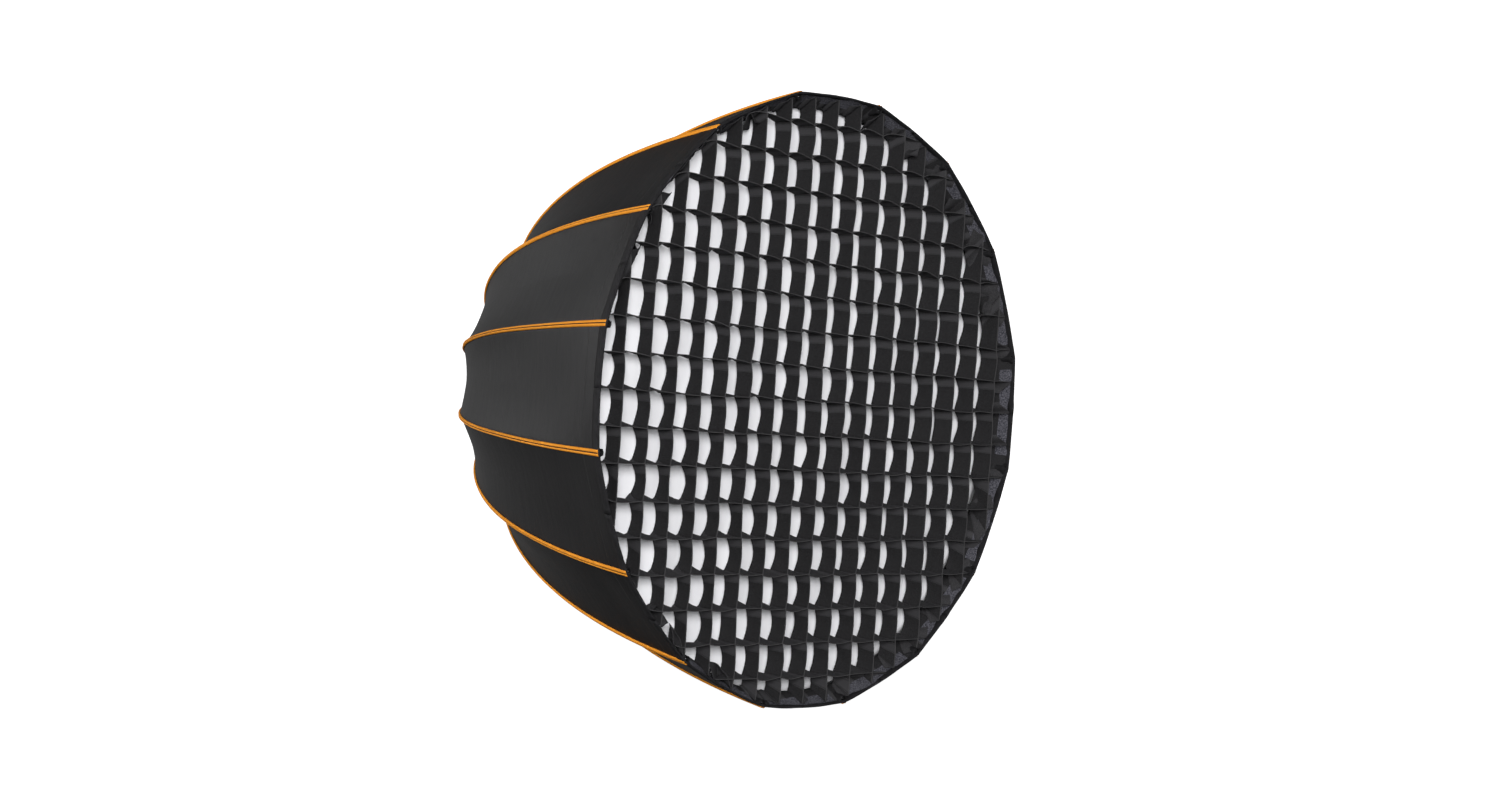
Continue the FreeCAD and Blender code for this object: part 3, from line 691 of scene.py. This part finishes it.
def make_rim_binding():
    """Folded tape over the rim's edge, with the loop band and the rib's pocket inside."""
    across = np.linspace(-1, 1, 25)
    half_width = OPEN_R * math.sin(HALF_PITCH)
    # tape profile from outside the shell, round the edge, to inside: (back, lift)
    profile = [(14.0, 0.35), (13.8, 0.95), (6.0, 1.15), (0.6, 1.30), (-0.9, 0.9), (-1.5, -0.2),
               (-1.2, -1.5), (0.5, -2.3), (5.0, -2.2), (9.0, -2.0), (9.2, -1.4)]
    back, lift = np.transpose(profile) * MM
    for number in range(1, RIBS + 1):
        turn = rib_angle(number)
        a, b = np.meshgrid(across, back, indexing="ij")
        roll = 0.35 * MM * np.sin(a * 7 + number * 2.1) * (1 - a ** 4)
        rings = shell_point(np.maximum(b, 0), a, lift + roll * (lift > 0) + rim_bulge(b, a), turn)
        rings[..., 1] += np.minimum(b, 0)
        tape = swept(f"tape_{number:02d}", rings, [TAPE], np.stack([b, a * half_width], axis=-1))
        b, a = np.meshgrid(np.linspace(10, 36, 8) * MM, across, indexing="ij")
        outer = shell_point(b, a, rim_bulge(b, a) - 1.3 * MM, turn)
        inner = shell_point(b, a, rim_bulge(b, a) - 2.6 * MM, turn)
        uv = np.stack([a * half_width, b], axis=-1)
        band = two_sided(f"band_{number:02d}", outer, inner, [LOOP], uv, (0, 0, 0))
        edge = merge(f"rim_binding_{number:02d}", [tape, band, tip_pocket(number)])
        fold_with_rib(edge, number, folded_share(OPEN_R) + 0.04)


def tip_pocket(number):
    """Sewn pocket that holds a rod's tip against the inside of the rim."""
    back = np.linspace(1.5, 52, 16) * MM
    swell = 1 - 0.55 * smooth((back[:, None] - 34 * MM) / (18 * MM))
    profile = [(-9.0, -1.2), (-4.8, -2.4), (-3.7, -7.0), (0.0, -8.8), (3.7, -7.0), (4.8, -2.4),
               (9.0, -1.2), (9.0, -2.0), (5.6, -3.2), (4.4, -8.0), (0.0, -9.8), (-4.4, -8.0),
               (-5.6, -3.2), (-9.0, -2.0)]
    across, lift = np.transpose(profile) * MM
    side = across * np.ones_like(swell)
    rise = lift * swell - np.abs(side) * math.tan(HALF_PITCH)
    rings, uv = beside_rib(number, back, side, rise)
    return swept(f"pocket_{number:02d}", rings, [TAPE], uv)


# ---------------------------------------------------------------- front cloths

GRID_FRONT = 597 * MM
GRID_REAR = 565 * MM
GRID_DEPTH = GRID_FRONT - GRID_REAR
SKIRT_REAR = 562 * MM
SKIRT_FRONT = 601.2 * MM
SKIRT_R = 426.5 * MM                      # where the strips' rear edges meet the skirt
SAG_SPAN = 400 * MM                       # height over which the strips' sag changes


def skirt_radius(angle):
    """Rear edge of the skirt, between a circle and the rim's polygon."""
    corner_r, circle_r = 433.0 * MM, 427.0 * MM
    return corner_r * rim_polygon(angle) * 0.35 + circle_r * 0.65


def rim_inside(angle):
    """Radius of the rim's inner face, bulged between the corners as the shell is."""
    away = off_rib(angle)
    share = np.tan(away) / math.tan(HALF_PITCH) * 0.5 + away / HALF_PITCH * 0.5
    return OPEN_R * rim_polygon(angle) + RIM_BULGE * (1 - (1 - share) ** 2) - 1.0 * MM


def skirt_reach(angle, share):
    """Radius of the skirt, from its rear edge (share 0) to where it wraps the rim (1)."""
    flare = 0.25 * share + 0.75 * smooth((share - 0.15) / 0.85)
    return skirt_radius(angle) * (1 - flare) + rim_inside(angle) * flare


def chord_end(offset):
    """Half length of a strip's rear edge at this offset, where it meets the skirt."""
    return math.sqrt(SKIRT_R ** 2 - offset ** 2)


def front_reach(offset, way, level):
    """How much further than its rear edge a strip's front edge runs, to end at the rim."""
    along = chord_end(offset)
    for _ in range(4):
        x, z = (way * along, offset) if level else (offset, way * along)
        radius = float(rim_inside(math.atan2(z, x))) - 4.0 * MM
        along = math.sqrt(radius ** 2 - offset ** 2)
    return along - chord_end(offset)


class Lattice:
    """Crossings of the grid, front and rear, each a little off its place as sewn cloth is."""

    def __init__(self):
        reach = int(SKIRT_R // GRID_PITCH)
        self.lines = np.arange(-reach, reach + 1)
        count = len(self.lines)
        self.front = rng.normal(0, 0.9 * MM, (count, count, 2))
        self.rear = rng.normal(0, 1.1 * MM, (count, count, 2))
        self.front[..., 1] -= 1.0 * MM
        self.rear[..., 0] -= 1.2 * MM
        # belly of each stretch of strip between two crossings, at its rear and its front edge
        self.belly_up = np.abs(rng.normal(4.2, 1.2, (count, count + 1))) * MM
        height = (self.lines * GRID_PITCH / SAG_SPAN)[:, None]
        risen = 7.5 * smooth(0.45 - 0.75 * height)
        self.belly_level = risen + rng.normal(0.0, 0.9, (count, count + 1))
        self.front_up = rng.normal(3.1, 0.9, (count, count + 1)) * MM
        arched = 8.2 * smooth(0.42 + 0.7 * height) - 2.2
        self.front_level = (arched + rng.normal(0.0, 1.2, (count, count + 1))) * MM
        self.belly_level = self.belly_level * MM + self.front_level

    def stations(self, index, level):
        """A strip's place, and its ends and crossings: (along, front offset, rear offset, cell)."""
        own = self.lines[index] * GRID_PITCH
        end = chord_end(own)
        outward = np.array([1.0, 0.0] if level else [0.0, 1.0])
        found = [(-end, -front_reach(own, -1, level) * outward, np.zeros(2), 0)]
        for other, line in enumerate(self.lines):
            along = line * GRID_PITCH
            if abs(along) >= end - 6 * MM:
                continue
            i, j = (other, index) if level else (index, other)
            found.append((along, self.front[i, j], self.rear[i, j], other + 1))
        found.append((end, front_reach(own, 1, level) * outward, np.zeros(2), len(self.lines)))
        return own, found


LATTICE = Lattice()
PER_CELL = 8
DEPTH_STEPS = 6
# How far out a strip's rear edge is, as a share of its front edge: upright strips, level strips.
REAR_TAPER = (0.986, 1.0)


def strip_points(index, level):
    """Middle surface of one strip: rows along it, columns from front edge to rear edge."""
    own, stations = LATTICE.stations(index, level)
    belly = (LATTICE.belly_level if level else LATTICE.belly_up)[index]
    front_belly = (LATTICE.front_level if level else LATTICE.front_up)[index]
    along_axis, cross_axis = (0, 1) if level else (1, 0)
    rows, phases = [], []
    share_back = np.linspace(0, 1, DEPTH_STEPS)
    bend = share_back ** 1.35
    for (a0, f0, r0, cell), (a1, f1, r1, _) in zip(stations, stations[1:]):
        span = (a1 - a0) / GRID_PITCH
        steps = max(3, int(PER_CELL * span))
        peak = 0.72 if level else 1.0 + 0.5 * smooth(0.65 + a0 / SAG_SPAN)
        droop = 1.0 + 0.9 * smooth(0.5 - 0.5 * (own if level else a0) / SAG_SPAN)
        # a stretch shares its first row with the stretch before it
        for step in range(1 if rows else 0, steps + 1):
            s = step / steps
            arch = math.sin(math.pi * s ** peak) * min(1.0, span)
            f = f0 * (1 - s) + f1 * s
            r = r0 * (1 - s) + r1 * s
            cross_front = own + f[cross_axis] + front_belly[cell] * arch
            cross_rear = own * REAR_TAPER[level] + r[cross_axis] + belly[cell] * arch * droop
            cross = cross_front * (1 - bend) + cross_rear * bend
            along_here = a0 * (1 - s) + a1 * s
            along = along_here + (f[along_axis] * (1 - share_back) + r[along_axis] * share_back)
            forward = GRID_FRONT - GRID_DEPTH * share_back - 1.2 * MM * arch * (1 - share_back)
            x, z = (along, cross) if level else (cross, along)
            rows.append(np.stack([x, -forward, z], axis=-1))
            phases.append(along_here)
    return np.array(rows), np.array(phases)


def make_grid(level):
    """One layer of the grid: the level strips or the upright ones."""
    cloth = GRID_LEVEL if level else GRID_UPRIGHT
    made, area, total = [], 0.0, 0.0
    for index in range(len(LATTICE.lines)):
        middle, along = strip_points(index, level)
        front, back = thicken(middle, STRIP)
        depth = np.linspace(0, GRID_DEPTH, DEPTH_STEPS)
        v, u = np.meshgrid(along + 10 * GRID_PITCH, depth, indexing="ij")
        uv = np.stack([u, v], axis=-1)
        made.append(two_sided(f"strip_{level}_{index}", front, back, [cloth], uv, (0, 0, 0)))
        area += area_of(middle)
        total += along[-1] - along[0]
    piece = merge("grid_strips_level" if level else "grid_strips_upright", made)
    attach(piece, "grid_cover")
    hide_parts("grid")


def end_tab(name, own, way, level, side):
    """Strip's end, folded to one side and sewn flat against the skirt."""
    rear = way * chord_end(own)
    front = rear + way * front_reach(own, way, level)
    s, d = np.meshgrid(np.linspace(0, 1, 8), np.linspace(0, 1, 6), indexing="ij")
    along = front * (1 - d) + rear * d
    x, z = (along, own) if level else (own, along)
    lean = side * float(rng.uniform(10, 25)) * MM
    hang = 14 * MM * float(rng.random() < 0.22)
    at = np.arctan2(z, x) + lean / OPEN_R * s
    forward = (GRID_FRONT + GRID_REAR) / 2 + GRID_DEPTH * (0.5 - d) * (1 - 0.55 * s ** 1.5)
    share = (forward - SKIRT_REAR) / (SKIRT_FRONT - SKIRT_REAR)
    lying = skirt_reach(at, share) - (1.2 + 3.0 * np.sin(math.pi * s) * (1 - 0.5 * d)) * MM
    settled = smooth(s / 0.4)
    radius = np.hypot(x, z) * (1 - settled) + (lying - hang * smooth(s)) * settled
    top, under = thicken(row_point(radius, at, forward), STRIP)
    uv = np.stack([d * 0.03 + 0.002, s * 0.02], axis=-1)
    return two_sided(name, top, under, [GRID_LEVEL], uv, (0, 0, 0))


def make_grid_tabs():
    """Folded ends of the strips; an end well above the axis has a tab to each side."""
    pair_height = 60 * MM
    made = []
    for level in (False, True):
        for index, line in enumerate(LATTICE.lines):
            for way in (-1, 1):
                own = line * GRID_PITCH
                high = (own if level else way * chord_end(own)) > pair_height
                first = float(rng.choice([-1, 1]))
                for side in ((first, -first) if high else (first,)):
                    name = f"tab_{level}_{index}_{way}_{side:.0f}"
                    made.append(end_tab(name, own, way, level, side))
    piece = merge("grid_end_tabs", made)
    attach(piece, "grid_cover")


def make_skirt():
    """Wrinkled band that ties the grid to the rim, with a patch of brushed loop on each side."""
    angle = np.linspace(0, 2 * math.pi, 720, endpoint=False)
    a, s = np.meshgrid(angle, np.linspace(0, 1, 9), indexing="ij")
    wrinkle = np.zeros_like(a)
    for waves in (23, 37, 61, 94, 141):
        phase = rng.uniform(0, 2 * math.pi)
        lean = rng.uniform(-0.5, 0.5)
        size = 34.0 / waves * rng.uniform(0.7, 1.3)
        wrinkle += size * np.sin(waves * (a + lean * s * 0.05) + phase)
    wrinkle *= 0.62 * MM * (0.35 + 0.65 * np.sin(math.pi * np.minimum(s, 0.9)))
    edge_wave = 0.5 * MM * np.sin(a * 31 + 1.3) * s
    forward = SKIRT_REAR + (SKIRT_FRONT - SKIRT_REAR) * s + edge_wave - 0.9 * MM * s
    radius = skirt_reach(a, s) + np.clip(wrinkle, -2.6 * MM, 1.2 * MM)
    inside = row_point(radius, a, forward)
    outside = row_point(radius + 1.0 * MM, a, forward)
    # up the inside and down the outside, so the band is one closed tube
    rings = np.concatenate([inside, outside[:, ::-1]], axis=1)
    faces = ring_faces(*rings.shape[:2])
    u = np.concatenate([s, s[:, ::-1]], axis=1) * 37 * MM
    v = np.concatenate([a, a], axis=1) * 428 * MM
    row, column = np.divmod(np.arange(len(faces)), rings.shape[1])
    past_rib = (angle[row] - rib_angle(1)) % (2 * HALF_PITCH)
    patch = (np.abs(past_rib - HALF_PITCH) < 0.80 * HALF_PITCH) & (column >= 4) & (column <= 9)
    piece = mesh_piece("grid_skirt_cloth", rings, faces, [GRID_UPRIGHT, LOOP], patch,
                       np.stack([u, v], axis=-1))
    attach(piece, "grid_cover")
    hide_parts("grid_skirt")


def round_cloth(name, radius, forward, sag, seed, material):
    """Round cloth with slack folds: rings of points about the axis."""
    rings, around = 46, 192
    turn = 6.28
    r = np.linspace(0.002, 1, rings) * radius
    a = np.linspace(0, 2 * math.pi, around, endpoint=False)
    rr, aa = np.meshgrid(r, a, indexing="ij")
    x, z = rr * np.cos(aa), rr * np.sin(aa)
    local = np.random.default_rng(seed)
    wave = np.zeros_like(x)
    for _ in range(9):
        direction = local.normal(0, 0.45)
        length = local.uniform(70, 190) * MM
        phase = local.uniform(0, turn)
        wave += np.sin((x * math.cos(direction) + z * math.sin(direction)) * turn / length + phase)
    wave *= sag / 4.5
    radial = 0.35 * sag * np.sin(aa * RIBS + 0.6) * smooth((rr / radius - 0.72) / 0.28)
    held = 1 - smooth((rr / radius - 0.90) / 0.10)
    y = -(forward - sag * 0.6 + (wave + radial) * held)
    top = np.stack([x, y - STRIP / 2, z], axis=-1)
    under = np.stack([x, y + STRIP / 2, z], axis=-1)
    count = rings * around
    faces = list(grid_faces(rings, around, wrap=True))
    faces += list(grid_faces(rings, around, count, wrap=True)[:, ::-1])
    faces.append(range(around)[::-1])
    faces.append(range(count, count + around))
    start = (rings - 1) * around
    for j in range(around):
        k = (j + 1) % around
        faces.append((start + j, start + k, start + k + count, start + j + count))
    uv = np.stack([x, z], axis=-1)
    return mesh_piece(name, np.stack([top, under]), faces, [material], None, np.stack([uv, uv]))


def rolled_hem(name, radius, forward, tube, material, body):
    """Bead of folded tape round a cloth's edge."""
    around, section = 160, 12
    a = np.linspace(0, 2 * math.pi, around, endpoint=False)
    s = np.linspace(0, 2 * math.pi, section, endpoint=False)
    aa, ss = np.meshgrid(a, s, indexing="ij")
    wide = tube * (1 + 0.08 * np.sin(aa * 48))
    verts = row_point(radius + wide * np.cos(ss), aa, forward + wide * 0.7 * np.sin(ss))
    uv = np.stack([ss * tube, aa * radius], axis=-1)
    piece = mesh_piece(name, verts, ring_faces(around, section), [material], None, uv)
    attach(piece, body)


def make_round_cloth(node, body, material, inset, sag, seed):
    """Slack cloth in place of a plain round sheet, whose radius and place are returned."""
    low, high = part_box(node)
    radius = (high[0] - low[0]) / 2
    forward = -(low[1] + high[1]) / 2
    cloth = round_cloth(f"{node}_cloth", radius - inset, forward, sag, seed, material)
    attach(cloth, body)
    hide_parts(node)
    return radius, forward


def make_round_cloths():
    make_round_cloth("front_diffuser", "diffuser_cover", WHITE, inset=1 * MM,
                     sag=2.6 * MM, seed=5)
    radius, forward = make_round_cloth("inner_baffle", "baffle_cover", BAFFLE_WHITE, inset=3 * MM,
                                       sag=3.5 * MM, seed=9)
    rolled_hem("inner_baffle_hem", radius - 2.4 * MM, forward, 2.2 * MM, TAPE, "baffle_cover")


def make_neck():
    """Gathered black cloth from the speedring's rim to the rear edge of the panels."""
    angle = np.linspace(0, 2 * math.pi, 384, endpoint=False)
    a, s = np.meshgrid(angle, np.linspace(0, 1, 12), indexing="ij")
    start_r, start_f = 102.6 * MM, 7 * MM
    end_r, end_f, _, _ = MERIDIAN.at(MERIDIAN.back_at_radius(NECK_R + 6 * MM))
    arch = np.sin(math.pi * s)
    gather = 0.55 * MM * np.sin(a * 64) * arch ** 0.7
    radius = start_r * (1 - s) + end_r * rim_polygon(a) * s
    forward = start_f * (1 - s) + (end_f - 2.2 * MM) * s - 1.2 * MM * arch + gather
    outer = row_point(radius, a, forward)
    inner = row_point(radius, a, forward + 1.0 * MM)
    rings = np.concatenate([outer, inner[:, ::-1]], axis=1)
    u = np.concatenate([a, a], axis=1) * 110 * MM
    v = np.concatenate([s, s[:, ::-1]], axis=1) * 30 * MM + 200 * MM
    faces = ring_faces(*rings.shape[:2])[:, ::-1]
    piece = mesh_piece("hub_neck_cloth", rings, faces, [SHELL], None, np.stack([u, v], axis=-1))
    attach(piece, "hub")
    rolled_hem("hub_neck_hem", 103.6 * MM, 6.4 * MM, 1.5 * MM, TAPE, "hub")


# ---------------------------------------------------------------- CAD nodes


def dress(node, material):
    """Gives a CAD node its material."""
    obj = frame["nodes"][node]
    obj.data.materials.clear()
    obj.data.materials.append(material)


def make_button_spring(material):
    """The button's coil, between the button and the bottom of its pocket."""
    obj = frame["nodes"]["button_spring"]
    verts = [obj.matrix_world @ v.co for v in obj.data.vertices]
    faces = [tuple(face.vertices) for face in obj.data.polygons]
    coil = mesh_piece("button_spring_coil", verts, faces, [material])
    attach(coil, "hub")
    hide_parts("button_spring")
    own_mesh(coil)


def dress_frame():
    anodised = metal("anodised_black", (0.020, 0.020, 0.022), (0.042, 0.042, 0.045), 0.42)
    cover = metal("cover_black", (0.028, 0.028, 0.030), (0.055, 0.055, 0.058), 0.36)
    machined = metal("machined_aluminium", (0.36, 0.37, 0.38), (0.50, 0.51, 0.53), 0.34, grain=1600)
    zinc = metal("zinc_steel", (0.34, 0.34, 0.36), (0.52, 0.52, 0.54), 0.32)
    spring_steel = metal("black_spring_steel", (0.030, 0.030, 0.032), (0.075, 0.075, 0.080), 0.33)
    nylon = plastic("holder_nylon", (0.014, 0.014, 0.015), (0.026, 0.026, 0.028), 0.5)
    orange = plastic("button_orange", (0.56, 0.17, 0.012), (0.70, 0.24, 0.02), 0.38)
    for number in range(1, RIBS + 1):
        dress(f"rib_{number:02d}", spring_steel)
        dress(f"rib_holder_{number:02d}", nylon)
    for node, material in {
        "speedring_body": anodised,
        "speedring_cover": cover,
        "bayonet_ring": machined,
        "hub_screws": zinc,
        "hinge_pins": zinc,
        "lock_ring": zinc,
        "release_button": orange,
    }.items():
        dress(node, material)
    make_button_spring(zinc)


# ---------------------------------------------------------------- studio

CAMERA_AZIMUTH = -46.3                    # degrees from straight in front, towards the left
AIM = Vector((0, -0.3, 0))


def direction(azimuth, elevation):
    """Unit vector from the object towards a place that is this many degrees round and up."""
    a, e = math.radians(azimuth), math.radians(elevation)
    return Vector((math.sin(a) * math.cos(e), -math.cos(a) * math.cos(e), math.sin(e)))


def make_studio():
    """Pale floor that curves up into a back wall, in a soft white surround."""
    floor_z = cad_low[2] - 0.45
    far, wide, bend = 5.0, 24.0, 2.0
    rows = [(y, floor_z) for y in np.linspace(-wide, far, 8)]
    for angle in np.linspace(0, math.pi / 2, 14)[1:]:
        rows.append((far + bend * math.sin(angle), floor_z + bend * (1 - math.cos(angle))))
    rows.append((far + bend, floor_z + bend + 6))
    turn = Matrix.Rotation(math.radians(CAMERA_AZIMUTH), 3, "Z")
    verts = [turn @ Vector((x, y, z)) for y, z in rows for x in (-wide, wide)]
    sweep = mesh_piece("studio_sweep", verts, grid_faces(len(rows), 2), [studio_white()])
    sweep.visible_diffuse = False
    sweep.visible_glossy = False
    world = bpy.data.worlds.new("studio_world")
    world.use_nodes = True
    nodes, links = world.node_tree.nodes, world.node_tree.links
    back = nodes["Background"]
    where = nodes.new("ShaderNodeTexCoord")
    split = nodes.new("ShaderNodeSeparateXYZ")
    steep = nodes.new("ShaderNodeMath")
    steep.operation = "ABSOLUTE"
    walls = nodes.new("ShaderNodeMapRange")
    walls.interpolation_type = "SMOOTHSTEP"
    # bright round the sides, and dim towards the top and the bottom
    limits = {"From Min": 0.15, "From Max": 0.60, "To Min": 0.50, "To Max": 0.03}
    for socket, value in limits.items():
        walls.inputs[socket].default_value = value
    links.new(where.outputs["Generated"], split.inputs[0])
    links.new(split.outputs[2], steep.inputs[0])
    links.new(steep.outputs[0], walls.inputs["Value"])
    links.new(walls.outputs[0], back.inputs["Strength"])
    back.inputs["Color"].default_value = (1, 1, 1, 1)
    bpy.context.scene.world = world


def area_light(name, azimuth, elevation, distance, size, power):
    data = bpy.data.lights.new(name, "AREA")
    data.shape = "DISK"
    data.size = size
    data.energy = power
    obj = bpy.data.objects.new(name, data)
    back = direction(azimuth, elevation)
    obj.location = AIM + back * distance
    obj.rotation_mode = "QUATERNION"
    obj.rotation_quaternion = (-back).to_track_quat("-Z", "Y")
    bpy.context.scene.collection.objects.link(obj)


def make_lights():
    area_light("key", -42, 9, distance=6.0, size=2.2, power=365)
    area_light("side", -100, 8, distance=3.6, size=1.6, power=28)
    area_light("top", -25, 48, distance=4.5, size=1.6, power=22)
    area_light("rear_left", -150, 14, distance=3.6, size=1.5, power=43)


def make_camera():
    """The reference view: level, from the left front, with the camera rolled slightly."""
    roll = math.radians(3.5)
    distance, shift_right, shift_up = 4.306, 0.1107, -0.0132
    back = direction(CAMERA_AZIMUTH, 0.0)
    right = Vector((-back.y, back.x, 0))
    up = back.cross(right)
    rolled_right = right * math.cos(roll) + up * math.sin(roll)
    rolled_up = up * math.cos(roll) - right * math.sin(roll)
    data = bpy.data.cameras.new("camera")
    data.sensor_width = 36
    data.lens = 67.5
    camera = bpy.data.objects.new("camera", data)
    place = AIM + rolled_right * shift_right + rolled_up * shift_up + back * distance
    axes = Matrix((rolled_right, rolled_up, back)).transposed().to_4x4()
    camera.matrix_world = Matrix.Translation(place) @ axes
    bpy.context.scene.collection.objects.link(camera)
    bpy.context.scene.camera = camera
    bpy.context.scene.view_settings.view_transform = "Standard"


make_shell_panels()
make_piping()
make_rim_binding()
make_grid(False)
make_grid(True)
make_skirt()
make_grid_tabs()
make_round_cloths()
make_neck()
dress_frame()
make_studio()
make_lights()
make_camera()
